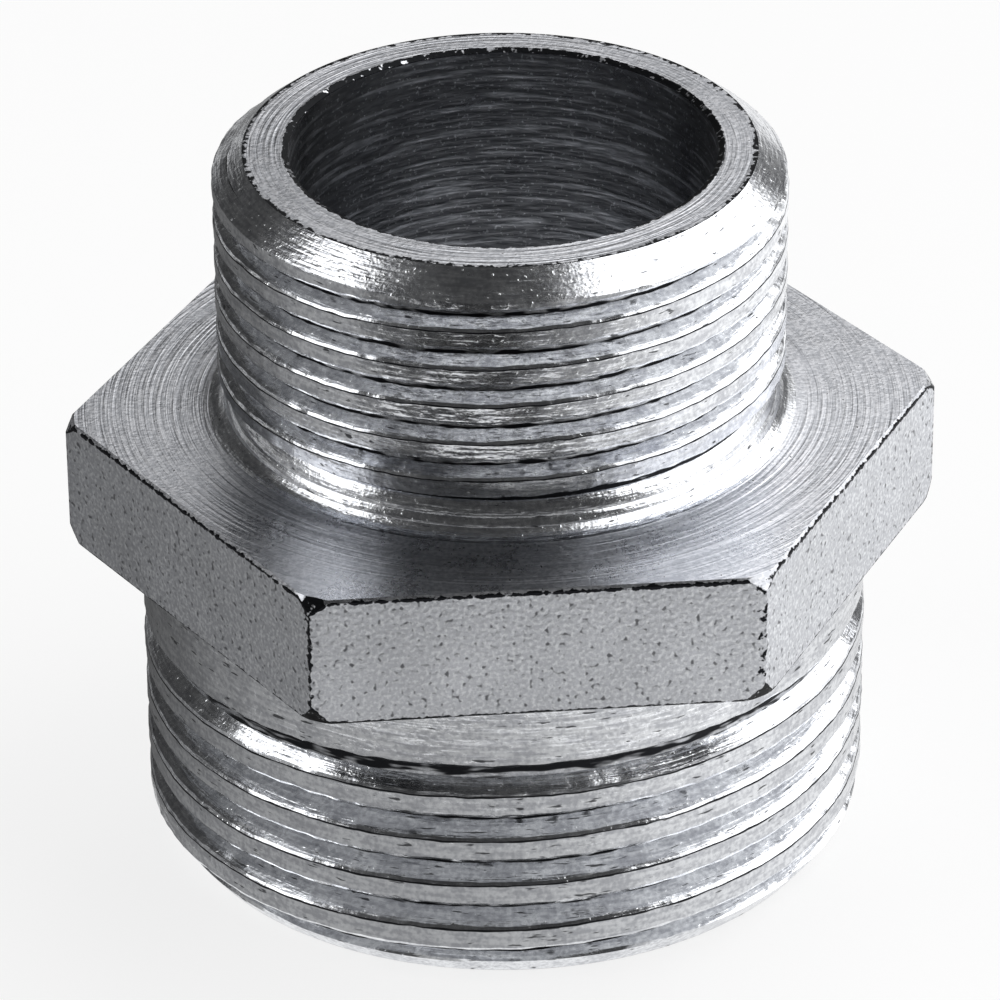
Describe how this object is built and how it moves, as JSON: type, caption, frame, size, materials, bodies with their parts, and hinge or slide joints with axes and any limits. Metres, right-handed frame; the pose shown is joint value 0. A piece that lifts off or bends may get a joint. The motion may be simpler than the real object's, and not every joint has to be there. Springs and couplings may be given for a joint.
{
  "type": "reducing nipple",
  "caption": "Bored steel pipe fitting with a male parallel pipe thread on each side of a spanner hexagon, the lower thread a size larger than the upper.",
  "frame": {"origin": "centre of the large end's face, on the axis, at the bottom", "axes": "+Z along the common axis of both threads and the bore, from the large end to the small end; +X through one corner of the hexagon"},
  "size_m": [0.0392, 0.034, 0.0332],
  "materials": {
    "plated_steel": "turned and zinc plated, dull satin"
  },
  "bodies": {
    "root": {"nipple": "plated_steel"}
  },
  "joints": []
}
